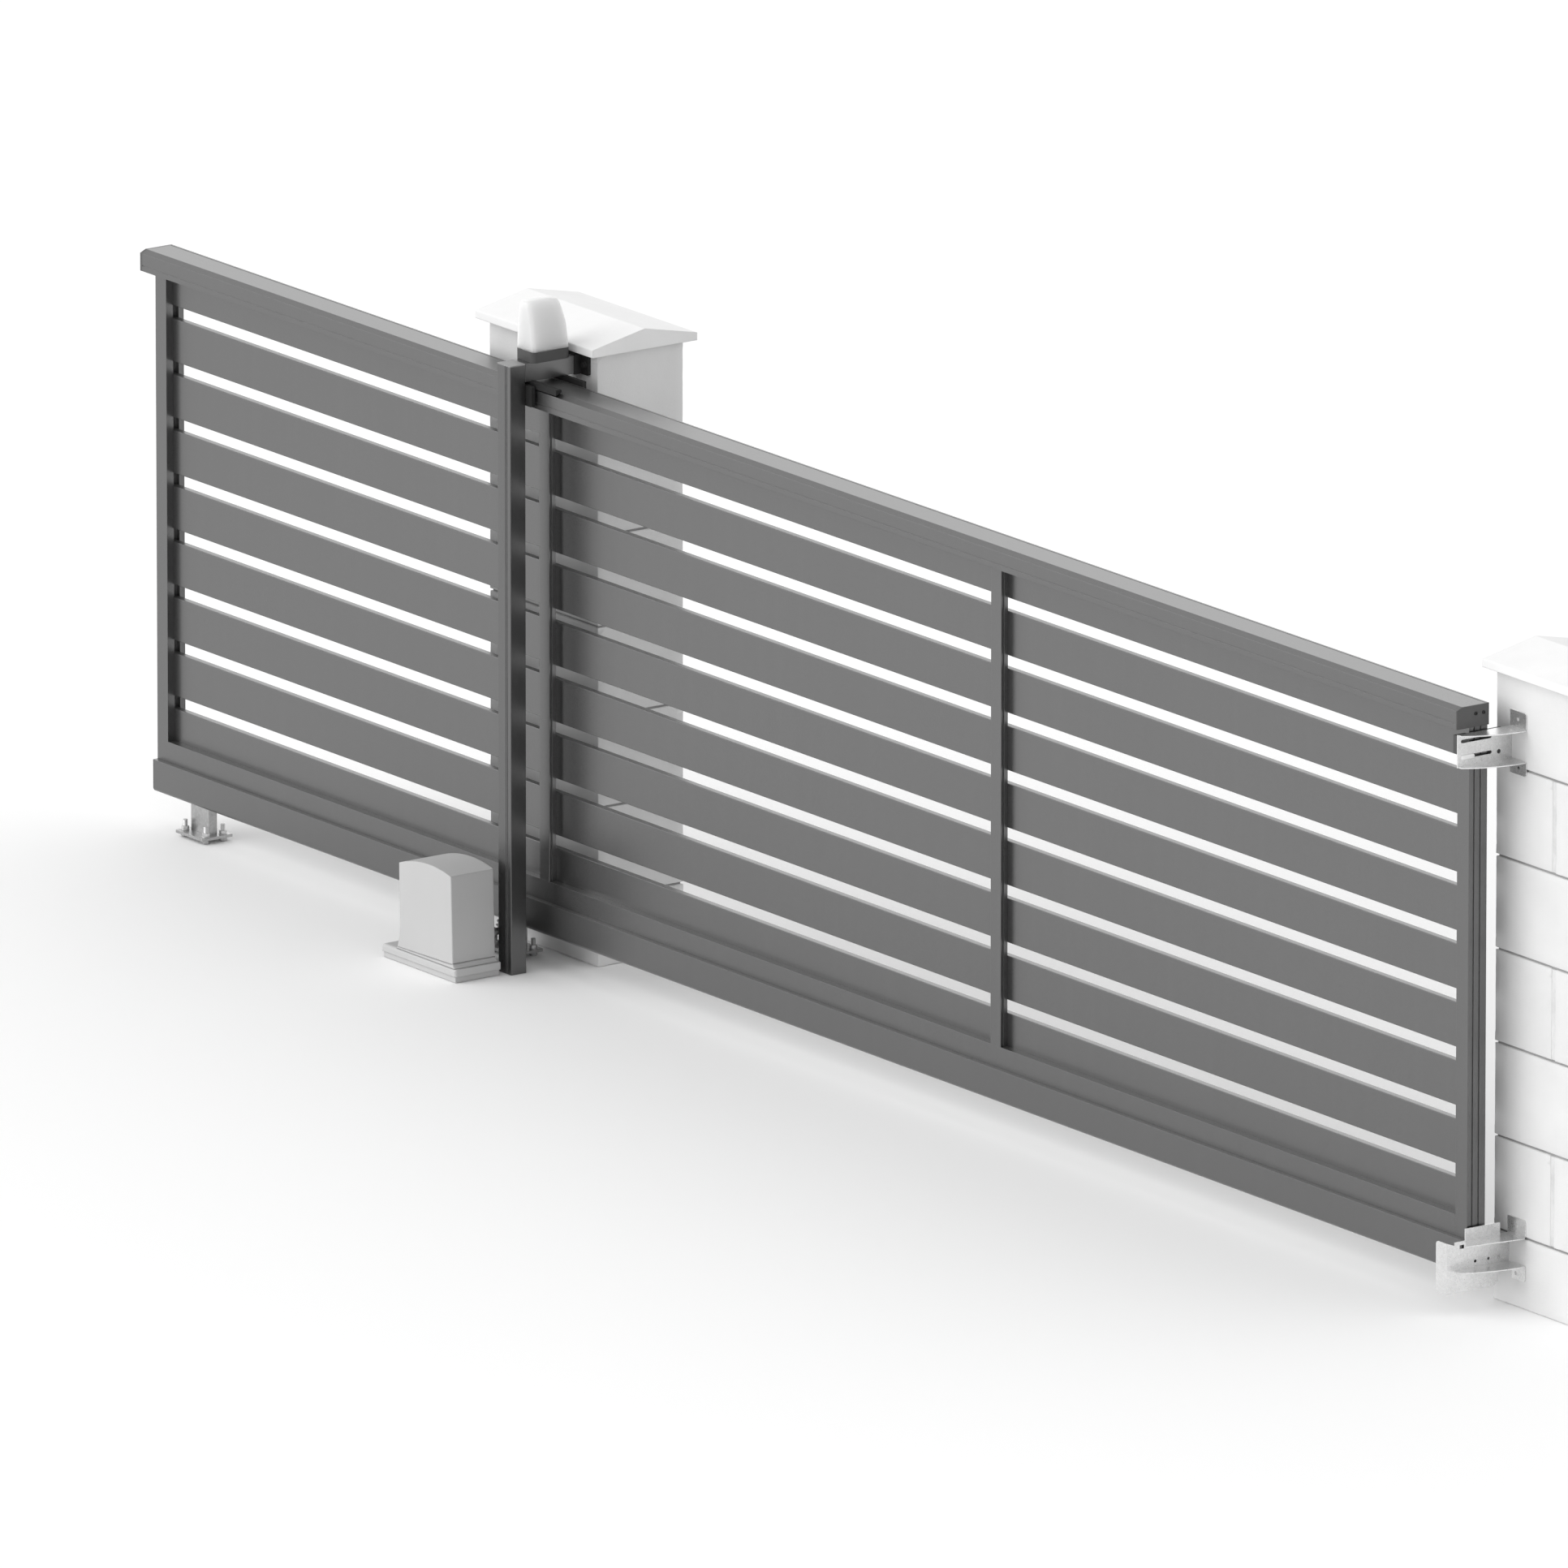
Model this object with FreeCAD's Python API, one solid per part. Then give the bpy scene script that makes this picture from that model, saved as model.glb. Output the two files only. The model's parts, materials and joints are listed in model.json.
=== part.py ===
import FreeCAD, Part
import math
import os
from FreeCAD import Vector

os.makedirs("parts", exist_ok=True)

# Frame: millimetres, origin at the centre of the guide post's foot on the ground.
# +X is the closing direction, +Y goes from the guide post to the pillars, +Z is up.

# Leaf: the sliding panel, measured in the closed position
LEAF_X0 = -1792.0
LEAF_X1 = 4160.0
STILE_FRONT = 85.0
STILE_DEPTH = 58.0
STILE_WIDTH = 50.0
STILE_WALL = 3.0
SLAT_COUNT = 9
SLAT_HEIGHT = 120.0
SLAT_PITCH = 156.0
SLAT_THICK = 19.0
SLAT_FRONT = 107.0
SLAT_WALL = 2.0
SLAT_SEAT = 15.0
FIRST_SLAT_Z = 218.0
MULLION_WIDTH = 46.0
MULLION_CENTRES = {"inner_mullion": 29.0, "middle_mullion": 2084.0}

# Bottom rail and the hollow beam that runs on the carriages
RAIL_Z0 = 190.0
RAIL_Z1 = 247.0
BEAM_FRONT = 70.0
BEAM_WIDTH = 90.0
BEAM_Z0 = 100.0
BEAM_WALL = 5.0
BEAM_RADIUS = 12.0
BEAM_FLANGE = 8.0
BEAM_SLOT = 38.0
LIP_Z0 = 113.0
LIP_THICK = 5.0
END_CAP = 4.0

# Top cap rail
CAP_FRONT = 42.0
CAP_BACK = 145.0
CAP_Z0 = 1560.0
CAP_Z1 = 1618.0
CAP_BEVEL_Y = 18.0
CAP_BEVEL_Z = 8.5
CAP_WALL = 4.0

# Rack and pinion drive
MODULE = 4.0
PINION_TEETH = 18
PINION_X = -155.0
PRESSURE_ANGLE = math.radians(20.0)
BACKLASH = 0.3
RACK_FIRST_SPACE = -7
RACK_LAST_SPACE = 329
RACK_Y0 = 78.0
RACK_Y1 = 96.0
PINION_Y0 = 82.5
PINION_Y1 = 94.5

# Roller carriages inside the beam
CARRIAGE_CENTRES = {"rear": -1615.0, "front": -155.0}
CARRIAGE_Y = 115.0
WHEEL_RADIUS = 28.0
WHEEL_WIDTH = 15.0
WHEEL_SPACING = 90.0
TRUCK_THICK = 27.0
PLATE_Z0 = 10.0
PLATE_Z1 = 18.0
STUD_TOP = 47.0
STUD_X = 49.0
STUD_Y = 28.0

# Guide post, arm, lamp
POST_X = 60.0
POST_Y = 50.0
POST_TOP = 1680.0
POST_WALL = 3.0
ARM_Z0 = 1630.0
ARM_END = 184.0
FRONT_GUIDE_X = (-105.0, 150.0)
REAR_GUIDE_X = (-117.0, 117.0)
GUIDE_GAP = 5.0
LAMP_BASE_TOP = 1709.0
LAMP_TOP = 1845.0

# Block pillars with saddle copings
PILLAR_FRONT = 214.0
PILLAR_DEPTH = 280.0
PILLAR_WIDTH = 500.0
PILLAR_TOP = 1690.0
INNER_PILLAR_X0 = -405.0
CLOSING_PILLAR_X0 = 4105.0
COPING_SIDE = 22.0
COPING_FRONT = 31.0
COPING_EDGE = 21.5
COPING_HEIGHT = 57.0

# Catch brackets folded from sheet
SHEET = 3.0
STOP_X = 4167.0


def save(shape, name):
    shape.exportStep("parts/" + name + ".step")


def block(x0, x1, y0, y1, z0, z1):
    return Part.makeBox(x1 - x0, y1 - y0, z1 - z0, Vector(x0, y0, z0))


def rod(radius, start, direction, length):
    return Part.makeCylinder(radius, length, start, direction)


def bar_along_x(points, x0, x1):
    """Extrude a closed (y, z) outline from x0 to x1."""
    corners = [Vector(x0, y, z) for y, z in points]
    face = Part.Face(Part.makePolygon(corners + corners[:1]))
    return face.extrude(Vector(x1 - x0, 0, 0))


def bar_along_y(points, y0, y1):
    """Extrude a closed (x, z) outline from y0 to y1."""
    corners = [Vector(x, y0, z) for x, z in points]
    face = Part.Face(Part.makePolygon(corners + corners[:1]))
    return face.extrude(Vector(0, y1 - y0, 0))


def plate_in_xy(points, z0, z1):
    """Extrude a closed (x, y) outline from z0 to z1."""
    corners = [Vector(x, y, z0) for x, y in points]
    face = Part.Face(Part.makePolygon(corners + corners[:1]))
    return face.extrude(Vector(0, 0, z1 - z0))


def round_edges(shape, radius, chosen):
    """Fillet the edges for which chosen(edge's bounding box) is true."""
    edges = [edge for edge in shape.Edges if chosen(edge.BoundBox)]
    return shape.makeFillet(radius, edges)


def rounded_rectangle(x0, x1, y0, y1, z, radius):
    """Wire of a level rectangle with round corners."""
    flat = Part.Face(Part.makePolygon([
        Vector(x0, y0, z), Vector(x1, y0, z), Vector(x1, y1, z), Vector(x0, y1, z), Vector(x0, y0, z)]))
    solid = flat.extrude(Vector(0, 0, 1))
    solid = round_edges(solid, radius, lambda box: box.ZLength > 0.5)
    bottom = min(solid.Faces, key=lambda face: face.CenterOfMass.z)
    return bottom.OuterWire


# Beam: a C-shaped extrusion with two running lips and a slot underneath
def make_beam():
    x0 = LEAF_X0 + END_CAP
    x1 = LEAF_X1 - END_CAP
    y0 = BEAM_FRONT
    y1 = BEAM_FRONT + BEAM_WIDTH
    middle = BEAM_FRONT + BEAM_WIDTH / 2.0
    beam = block(x0, x1, y0, y1, BEAM_Z0, RAIL_Z0)
    beam = round_edges(beam, BEAM_RADIUS, lambda box: box.XLength > 100 and box.ZMax < BEAM_Z0 + 1)
    lip_top = LIP_Z0 + LIP_THICK
    chamber = block(x0 - 1, x1 + 1, y0 + BEAM_WALL, y1 - BEAM_WALL, lip_top, RAIL_Z0 - BEAM_WALL)
    recess = block(x0 - 1, x1 + 1, y0 + BEAM_FLANGE, y1 - BEAM_FLANGE, BEAM_Z0 - 1, LIP_Z0)
    half_slot = BEAM_SLOT / 2.0
    slot = block(x0 - 1, x1 + 1, middle - half_slot, middle + half_slot, BEAM_Z0 - 1, lip_top + 1)
    return beam.cut(chamber).cut(recess).cut(slot)


def make_beam_cap(x0):
    """End plate with the beam's own outline."""
    plate = block(x0, x0 + END_CAP, BEAM_FRONT, BEAM_FRONT + BEAM_WIDTH, BEAM_Z0, RAIL_Z0)
    return round_edges(plate, BEAM_RADIUS, lambda box: box.XLength > 3 and box.ZMax < BEAM_Z0 + 1)


def make_bottom_rail():
    x0 = LEAF_X0 + STILE_WIDTH
    x1 = LEAF_X1 - STILE_WIDTH
    back = STILE_FRONT + STILE_DEPTH
    rail = block(x0, x1, STILE_FRONT, back, RAIL_Z0, RAIL_Z1)
    groove = block(x0 - 1, x1 + 1, SLAT_FRONT, SLAT_FRONT + SLAT_THICK, FIRST_SLAT_Z, RAIL_Z1 + 1)
    chamber = block(x0 - 1, x1 + 1, STILE_FRONT + 4, back - 4, RAIL_Z0 + 4, FIRST_SLAT_Z - 4)
    return rail.cut(groove).cut(chamber)


def make_stile(x0, inner_side):
    """Hollow upright; inner_side is +1 when its slat groove faces +X."""
    x1 = x0 + STILE_WIDTH
    back = STILE_FRONT + STILE_DEPTH
    stile = block(x0, x1, STILE_FRONT, back, RAIL_Z0, CAP_Z0)
    slat_back = SLAT_FRONT + SLAT_THICK
    if inner_side > 0:
        groove = block(x1 - SLAT_SEAT, x1 + 1, SLAT_FRONT, slat_back, RAIL_Z0 + 10, CAP_Z0 + 1)
        hollow_x0, hollow_x1 = x0 + STILE_WALL, x1 - SLAT_SEAT - STILE_WALL
    else:
        groove = block(x0 - 1, x0 + SLAT_SEAT, SLAT_FRONT, slat_back, RAIL_Z0 + 10, CAP_Z0 + 1)
        hollow_x0, hollow_x1 = x0 + SLAT_SEAT + STILE_WALL, x1 - STILE_WALL - 3
    hollow = block(hollow_x0, hollow_x1, STILE_FRONT + STILE_WALL, back - STILE_WALL, RAIL_Z0 - 1, CAP_Z0 + 1)
    stile = stile.cut(groove).cut(hollow)
    if inner_side < 0:
        for y in (STILE_FRONT + 14, STILE_FRONT + 34):
            stile = stile.cut(block(x1 - 3, x1 + 1, y, y + 4, RAIL_Z0 - 1, CAP_Z0 + 1))
    return stile


def make_slat(index):
    """Hollow board with a stiffening web; index 0 is the lowest."""
    x0 = LEAF_X0 + STILE_WIDTH - SLAT_SEAT
    x1 = LEAF_X1 - STILE_WIDTH + SLAT_SEAT
    z0 = FIRST_SLAT_Z + index * SLAT_PITCH
    z1 = z0 + SLAT_HEIGHT
    y0 = SLAT_FRONT
    y1 = SLAT_FRONT + SLAT_THICK
    slat = block(x0, x1, y0, y1, z0, z1)
    slat = round_edges(slat, 1.5, lambda box: box.XLength > 100)
    middle = (z0 + z1) / 2.0
    for low, high in ((z0 + SLAT_WALL, middle - 1), (middle + 1, z1 - SLAT_WALL)):
        slat = slat.cut(block(x0 - 1, x1 + 1, y0 + SLAT_WALL, y1 - SLAT_WALL, low, high))
    return slat


def make_mullion(centre):
    """Upright strip in front of the slats with a shadow groove in each side."""
    half = MULLION_WIDTH / 2.0
    strip = block(centre - half, centre + half, STILE_FRONT, SLAT_FRONT, RAIL_Z1, CAP_Z0)
    strip = round_edges(strip, 1.5, lambda box: box.ZLength > 100 and box.YMax < STILE_FRONT + 1)
    for side in (centre - half, centre + half):
        strip = strip.cut(block(side - 4, side + 4, STILE_FRONT + 4, STILE_FRONT + 10, RAIL_Z1 - 1, CAP_Z0 + 1))
    return strip


def cap_outline():
    return [
        (CAP_FRONT, CAP_Z0), (CAP_BACK, CAP_Z0), (CAP_BACK, CAP_Z1),
        (CAP_FRONT + CAP_BEVEL_Y, CAP_Z1), (CAP_FRONT, CAP_Z1 - CAP_BEVEL_Z)]


def make_cap_rail():
    """Bevelled hollow top rail with a groove below that seats the top slat."""
    x0 = LEAF_X0
    x1 = LEAF_X1
    rail = bar_along_x(cap_outline(), x0, x1)
    slat_top = FIRST_SLAT_Z + (SLAT_COUNT - 1) * SLAT_PITCH + SLAT_HEIGHT
    slat_back = SLAT_FRONT + SLAT_THICK
    groove_x0 = x0 + STILE_WIDTH - SLAT_SEAT
    groove_x1 = x1 - STILE_WIDTH + SLAT_SEAT
    rail = rail.cut(block(groove_x0, groove_x1, SLAT_FRONT, slat_back, CAP_Z0 - 1, slat_top))
    ceiling = CAP_Z1 - CAP_WALL
    front = [
        (CAP_FRONT + CAP_WALL, CAP_Z0 + CAP_WALL), (SLAT_FRONT - CAP_WALL, CAP_Z0 + CAP_WALL),
        (SLAT_FRONT - CAP_WALL, ceiling), (CAP_FRONT + CAP_BEVEL_Y + 1, ceiling),
        (CAP_FRONT + CAP_WALL, CAP_Z1 - CAP_BEVEL_Z - 2)]
    rail = rail.cut(bar_along_x(front, x0 - 1, x1 + 1))
    rail = rail.cut(block(x0 - 1, x1 + 1, slat_back + 3, CAP_BACK - 3, CAP_Z0 + CAP_WALL, ceiling))
    face_groove = block(x0 - 1, x1 + 1, CAP_FRONT - 1, CAP_FRONT + 1.2, CAP_Z0 + 14, CAP_Z0 + 17)
    back_groove = block(x0 - 1, x1 + 1, CAP_BACK - 9, CAP_BACK - 6, CAP_Z1 - 1.5, CAP_Z1 + 1)
    return rail.cut(face_groove).cut(back_groove)


def make_cap_plate(x0, x1):
    """End plate of the top rail with two screw holes in its rear half."""
    plate = bar_along_x(cap_outline(), x0, x1)
    for y in (103, 128):
        plate = plate.cut(rod(3, Vector(x0 - 1, y, CAP_Z0 + 35), Vector(1, 0, 0), x1 - x0 + 2))
    return plate


# Rack and pinion: the rack's teeth point down, inside the recess of the beam's front lip
PITCH = math.pi * MODULE
RACK_TIP_Z = BEAM_Z0 + 1
RACK_PITCH_Z = RACK_TIP_Z + MODULE
RACK_ROOT_Z = RACK_PITCH_Z + 1.25 * MODULE
PINION_RADIUS = MODULE * PINION_TEETH / 2.0
PINION_Z = RACK_PITCH_Z - PINION_RADIUS


def make_rack():
    """Straight toothed bar; a space between teeth stands over the pinion at rest."""
    slope = math.tan(PRESSURE_ANGLE)
    quarter = PITCH / 4.0
    root_half = quarter - slope * (RACK_ROOT_Z - RACK_PITCH_Z)
    tip_half = quarter + slope * (RACK_PITCH_Z - RACK_TIP_Z)
    start = PINION_X + (RACK_FIRST_SPACE - 0.5) * PITCH
    finish = PINION_X + (RACK_LAST_SPACE + 0.5) * PITCH
    outline = [(start, LIP_Z0), (start, RACK_TIP_Z)]
    for number in range(RACK_FIRST_SPACE, RACK_LAST_SPACE + 1):
        centre = PINION_X + number * PITCH
        outline.append((centre - tip_half, RACK_TIP_Z))
        outline.append((centre - root_half, RACK_ROOT_Z))
        outline.append((centre + root_half, RACK_ROOT_Z))
        outline.append((centre + tip_half, RACK_TIP_Z))
    outline.append((finish, RACK_TIP_Z))
    outline.append((finish, LIP_Z0))
    return bar_along_y(outline, RACK_Y0, RACK_Y1)


def involute(angle):
    return math.tan(angle) - angle


def make_pinion():
    """Spur gear with involute flanks and its shaft, one tooth pointing straight up."""
    base = PINION_RADIUS * math.cos(PRESSURE_ANGLE)
    tip = PINION_RADIUS + MODULE
    root = PINION_RADIUS - 1.25 * MODULE
    half_tooth = math.pi / (2 * PINION_TEETH) - BACKLASH / PINION_RADIUS + involute(PRESSURE_ANGLE)
    radii = [base + (tip - base) * step / 5.0 for step in range(6)]
    flank = [(root, half_tooth)]
    for radius in radii:
        flank.append((radius, half_tooth - involute(math.acos(min(1.0, base / radius)))))
    outline = []
    for tooth in range(PINION_TEETH):
        turn = 2 * math.pi * tooth / PINION_TEETH
        sides = [(r, turn - a) for r, a in flank] + [(r, turn + a) for r, a in reversed(flank)]
        outline += [(PINION_X + r * math.sin(a), PINION_Z + r * math.cos(a)) for r, a in sides]
    gear = bar_along_y(outline, PINION_Y0, PINION_Y1)
    shaft = rod(10, Vector(PINION_X, 48, PINION_Z), Vector(0, 1, 0), PINION_Y0 - 48 + 1)
    return gear.fuse(shaft).removeSplitter()


# Guide post with its arm over the leaf
def make_post():
    half_x = POST_X / 2.0
    half_y = POST_Y / 2.0
    post = block(-half_x, half_x, -half_y, half_y, 0, POST_TOP - 3)
    post = round_edges(post, 2, lambda box: box.ZLength > 100)
    inner = block(-half_x + POST_WALL, half_x - POST_WALL, -half_y + POST_WALL, half_y - POST_WALL, 10, POST_TOP)
    post = post.cut(inner)
    for x in (6, 13):
        post = post.cut(block(x, x + 3, -half_y - 1, -half_y + 1.5, -1, POST_TOP))
    return post


def make_post_cap():
    cap = block(-POST_X / 2.0, POST_X / 2.0, -POST_Y / 2.0, POST_Y / 2.0, POST_TOP - 3, POST_TOP)
    return round_edges(cap, 2, lambda box: box.ZLength > 2)


def make_arm():
    half = POST_X / 2.0
    y0 = POST_Y / 2.0
    arm = block(-half, half, y0, ARM_END, ARM_Z0, POST_TOP)
    inner = block(-half + 3, half - 3, y0 - 1, ARM_END + 1, ARM_Z0 + 3, POST_TOP - 3)
    return arm.cut(inner)


def make_wall_plate():
    """Plate on the pillar with a boss that closes the arm's end."""
    face = PILLAR_FRONT - 8
    plate = block(-64, 64, face, PILLAR_FRONT, ARM_Z0 - 3, POST_TOP + 3)
    plate = round_edges(plate, 6, lambda box: box.YLength > 5)
    for x in (-48, 48):
        plate = plate.cut(rod(5.5, Vector(x, face - 1, ARM_Z0 + 25), Vector(0, 1, 0), 10))
    boss = block(-32, 32, ARM_END, face, ARM_Z0 - 2, POST_TOP + 2)
    return plate.fuse(boss).removeSplitter()


def make_front_guide():
    """Wedge-shaped shoe under the arm, its sole parallel to the cap rail's bevel."""
    slope = math.hypot(CAP_BEVEL_Y, CAP_BEVEL_Z)
    out = GUIDE_GAP * CAP_BEVEL_Z / slope
    up = GUIDE_GAP * CAP_BEVEL_Y / slope
    front = CAP_FRONT - out
    back = CAP_FRONT + CAP_BEVEL_Y - out
    outline = [(front, CAP_Z1 - CAP_BEVEL_Z + up), (back, CAP_Z1 + up), (back, ARM_Z0), (front, ARM_Z0)]
    return bar_along_x(outline, FRONT_GUIDE_X[0], FRONT_GUIDE_X[1])


def make_guide_pad():
    """Flat pad on the back of the post, facing the front of the cap rail."""
    y0 = POST_Y / 2.0
    pad = block(-58, 58, y0, CAP_FRONT - GUIDE_GAP, CAP_Z0 + 6, ARM_Z0 - 8)
    return round_edges(pad, 4, lambda box: box.YLength > 5)


def make_rear_guide():
    """Upright shoe under the arm that stands behind the cap rail."""
    y0 = CAP_BACK + GUIDE_GAP
    return block(REAR_GUIDE_X[0], REAR_GUIDE_X[1], y0, y0 + 12, CAP_Z1 - 18, ARM_Z0)


# Flashing lamp
def make_lamp_base():
    wire = rounded_rectangle(-42, 42, 42.5, 164, POST_TOP, 14)
    return Part.Face(wire).extrude(Vector(0, 0, LAMP_BASE_TOP - POST_TOP))


def make_lamp_dome():
    """Lens that narrows upwards, its back leaning forward, the top rounded over."""
    height = LAMP_TOP - LAMP_BASE_TOP
    sections = []
    for share, half_x, y0, y1, radius in (
            (0.0, 41, 43.5, 163, 11), (0.5, 35, 41, 158.5, 11), (0.8, 28.5, 38.5, 149.5, 11),
            (0.92, 24.5, 38.5, 144.5, 11), (0.98, 20, 41.5, 139, 10), (1.0, 14, 48, 131, 8)):
        z = LAMP_BASE_TOP + share * height
        sections.append(rounded_rectangle(-half_x, half_x, y0, y1, z, radius))
    return Part.makeLoft(sections, True, True)


# Gear motor
MOTOR_X0 = -268.0
MOTOR_X1 = -8.0
MOTOR_Y0 = -190.0
MOTOR_Y1 = -50.0
MOTOR_BASE_TOP = 38.0
MOTOR_LEFT_CORNER = (-258.0, 276.0)
MOTOR_WAIST = (-256.0, 120.0)
MOTOR_FOOT_BEND = (-259.0, 72.0)
MOTOR_RIGHT_CORNER = (-16.0, 289.0)
MOTOR_CROWN = (-150.0, 300.0)


def motor_body(inset):
    """Block with an arched top and a flared left foot, inset on every side by the given amount."""
    y = MOTOR_Y0 + inset
    low_left = Vector(MOTOR_X0 + inset, y, MOTOR_BASE_TOP)
    low_right = Vector(MOTOR_X1 - inset, y, MOTOR_BASE_TOP)
    high_right = Vector(MOTOR_RIGHT_CORNER[0] - inset, y, MOTOR_RIGHT_CORNER[1] - inset)
    crown = Vector(MOTOR_CROWN[0], y, MOTOR_CROWN[1] - inset)
    high_left = Vector(MOTOR_LEFT_CORNER[0] + inset, y, MOTOR_LEFT_CORNER[1] - inset)
    waist = Vector(MOTOR_WAIST[0] + inset, y, MOTOR_WAIST[1])
    bend = Vector(MOTOR_FOOT_BEND[0] + inset, y, MOTOR_FOOT_BEND[1])
    edges = [
        Part.makeLine(low_left, low_right), Part.makeLine(low_right, high_right),
        Part.Arc(high_right, crown, high_left).toShape(), Part.makeLine(high_left, waist),
        Part.Arc(waist, bend, low_left).toShape()]
    face = Part.Face(Part.Wire(edges))
    return face.extrude(Vector(0, MOTOR_Y1 - MOTOR_Y0 - 2 * inset, 0))


def make_motor_cover():
    shell = motor_body(0)
    shell = round_edges(shell, 3, lambda box: box.ZLength > 50 and box.YLength < 1)
    return shell.cut(motor_body(3))


def make_motor_base():
    """Footing with an inset plinth under a wider flange, its left end rounded over."""
    left = MOTOR_X0 - 65
    flange = block(left, MOTOR_X1 + 21, MOTOR_Y0 - 6, MOTOR_Y1 + 6, 17, MOTOR_BASE_TOP)
    flange = round_edges(flange, 12, lambda box: box.XMax < left + 1 and box.ZMin > MOTOR_BASE_TOP - 1)
    flange = round_edges(flange, 8, lambda box: box.ZLength > 5 and box.XLength < 1 and box.YLength < 1)
    plinth = block(left + 6, MOTOR_X1 + 15, MOTOR_Y0 - 1, MOTOR_Y1 + 1, 0, 17)
    return flange.fuse(plinth).removeSplitter()


def make_motor_nose():
    """Round nose of the gearbox that carries the pinion's shaft."""
    nose = rod(22, Vector(PINION_X, MOTOR_Y1, PINION_Z), Vector(0, 1, 0), 40 - MOTOR_Y1)
    collar = rod(16, Vector(PINION_X, 40, PINION_Z), Vector(0, 1, 0), 7.5)
    return nose.fuse(collar).removeSplitter()


# Roller carriages
def hexagon(x, y, radius, z0, z1):
    corners = [(x + radius * math.cos(k * math.pi / 3), y + radius * math.sin(k * math.pi / 3)) for k in range(6)]
    return plate_in_xy(corners, z0, z1)


def make_carriage_base(centre):
    """Levelling plate carried by four nuts, their studs standing up through it."""
    base = block(centre - 63, centre + 63, CARRIAGE_Y - 50, CARRIAGE_Y + 50, PLATE_Z0, PLATE_Z1)
    for x in (centre - STUD_X, centre + STUD_X):
        for y in (CARRIAGE_Y - STUD_Y, CARRIAGE_Y + STUD_Y):
            base = base.fuse(hexagon(x, y, 11, 0, PLATE_Z0))
            base = base.fuse(rod(6, Vector(x, y, PLATE_Z1), Vector(0, 0, 1), STUD_TOP - PLATE_Z1))
    return base.removeSplitter()


def wheel_centre_z():
    return LIP_Z0 + LIP_THICK + WHEEL_RADIUS + 0.3


def make_carriage_truck(centre):
    """Stem through the beam's slot with the rocker bar that carries the axles."""
    y0 = CARRIAGE_Y - TRUCK_THICK / 2.0
    y1 = CARRIAGE_Y + TRUCK_THICK / 2.0
    axle_z = wheel_centre_z()
    outline = [
        (centre - 42, PLATE_Z1), (centre + 42, PLATE_Z1), (centre + 42, 95), (centre + 34, 105),
        (centre + 72, axle_z - 18), (centre + 72, axle_z + 18), (centre - 72, axle_z + 18),
        (centre - 72, axle_z - 18), (centre - 34, 105), (centre - 42, 95)]
    truck = bar_along_y(outline, y0, y1)
    for x in (centre - WHEEL_SPACING / 2.0, centre + WHEEL_SPACING / 2.0):
        truck = truck.cut(rod(8, Vector(x, y0 - 1, axle_z), Vector(0, 1, 0), TRUCK_THICK + 2))
    return truck


def make_axle(x):
    """Axle with a nylon wheel on each side of the rocker bar."""
    axle_z = wheel_centre_z()
    reach = 35.0
    axle = rod(8, Vector(x, CARRIAGE_Y - reach, axle_z), Vector(0, 1, 0), 2 * reach)
    for y in (CARRIAGE_Y - reach, CARRIAGE_Y + reach - WHEEL_WIDTH):
        axle = axle.fuse(rod(WHEEL_RADIUS, Vector(x, y, axle_z), Vector(0, 1, 0), WHEEL_WIDTH))
    return axle.removeSplitter()


# Catches on the closing pillar, folded from sheet
WALL_FACE = PILLAR_FRONT - SHEET


def slot_through_x(y0, y1, z, radius):
    """Long hole through the stop plate, lying along Y."""
    x0 = STOP_X - 1
    length = SHEET + 2
    middle = block(x0, x0 + length, y0 + radius, y1 - radius, z - radius, z + radius)
    ends = [rod(radius, Vector(x0, y, z), Vector(1, 0, 0), length) for y in (y0 + radius, y1 - radius)]
    return middle.fuse(ends)


def hole_through_x(y, z, radius):
    return rod(radius, Vector(STOP_X - 1, y, z), Vector(1, 0, 0), SHEET + 2)


def gusset(front, bend, wall_x, z0, heel_y):
    """Web between the stop plate and the wall tab; front and bend are (x, y) points of its bowed edge."""
    root = STOP_X + SHEET
    start = Vector(front[0], front[1], z0)
    middle = Vector(bend[0], bend[1], z0)
    finish = Vector(wall_x, WALL_FACE, z0)
    corner = Vector(root, WALL_FACE, z0)
    heel = Vector(root, heel_y, z0)
    edges = [
        Part.Arc(start, middle, finish).toShape(), Part.makeLine(finish, corner),
        Part.makeLine(corner, heel), Part.makeLine(heel, start)]
    return Part.Face(Part.Wire(edges)).extrude(Vector(0, 0, SHEET))


def wall_tab(x0, x1, z0, z1, hole_x, hole_z):
    """Tab flat on the wall with a hole for its anchor."""
    tab = block(x0, x1, WALL_FACE, PILLAR_FRONT, z0, z1)
    tab = round_edges(tab, 8, lambda box: box.YLength > 2 and box.XMin > x1 - 1)
    return tab.cut(rod(5, Vector(hole_x, WALL_FACE - 1, hole_z), Vector(0, 1, 0), SHEET + 2))


def make_upper_catch():
    """Stop plate with two long holes, held off the wall by an upper and a lower web."""
    z0, z1, y0 = 1460.0, 1548.0, 40.5
    catch = block(STOP_X, STOP_X + SHEET, y0, PILLAR_FRONT, z0, z1)
    for z in (1487, 1529):
        catch = catch.cut(slot_through_x(51, 150, z, 4.5))
    catch = catch.cut(hole_through_x(173, 1485, 6))
    for z in (z0, z1 - SHEET):
        catch = catch.fuse(gusset((4182, 43), (4216, 108), 4236, z, 43))
    catch = catch.fuse(wall_tab(STOP_X, 4236, z1 - SHEET, 1592, 4201, 1571))
    catch = catch.fuse(wall_tab(STOP_X, 4236, 1424, z0 + SHEET, 4203, 1442))
    return catch.removeSplitter()


def make_guide_block(y0, y1, z0):
    """Nylon block screwed to the leaf side of the upper stop plate, beside the front stile."""
    return round_edges(block(STOP_X - 19, STOP_X, y0, y1, z0, 1545), 3, lambda box: box.XMax < STOP_X - 1)


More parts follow.
